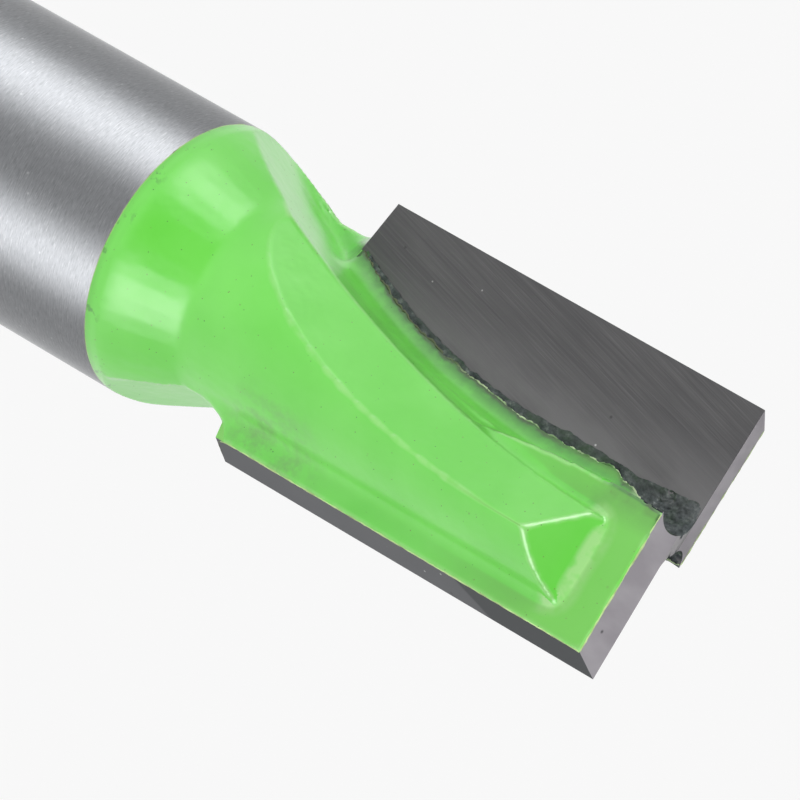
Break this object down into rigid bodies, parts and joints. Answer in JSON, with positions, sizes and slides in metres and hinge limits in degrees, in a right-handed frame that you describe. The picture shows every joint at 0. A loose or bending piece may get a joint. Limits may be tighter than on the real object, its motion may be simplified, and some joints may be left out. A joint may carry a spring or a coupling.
{
  "type": "router bit",
  "caption": "Straight router bit: a round steel shank with a stepped neck, painted wings and brazed carbide cutting inserts that stand past the body.",
  "frame": {"origin": "centre of the shank's flat end face", "axes": "+Z along the tool's axis from the shank's end to the cutting tip; +X from the axis towards the cutting edge of insert A"},
  "size_m": [0.013, 0.0126, 0.0654],
  "materials": {
    "body": "gloss bright green paint over steel, with the shank left bare and ground",
    "carbide_insert_a": "ground tungsten carbide, dark grey",
    "carbide_insert_b": "ground tungsten carbide, dark grey",
    "silver_solder": "silver solder, dull and rough"
  },
  "bodies": {
    "root": {"body": "body", "carbide_insert_a": "carbide_insert_a", "carbide_insert_b": "carbide_insert_b", "silver_solder": "silver_solder"}
  },
  "joints": []
}
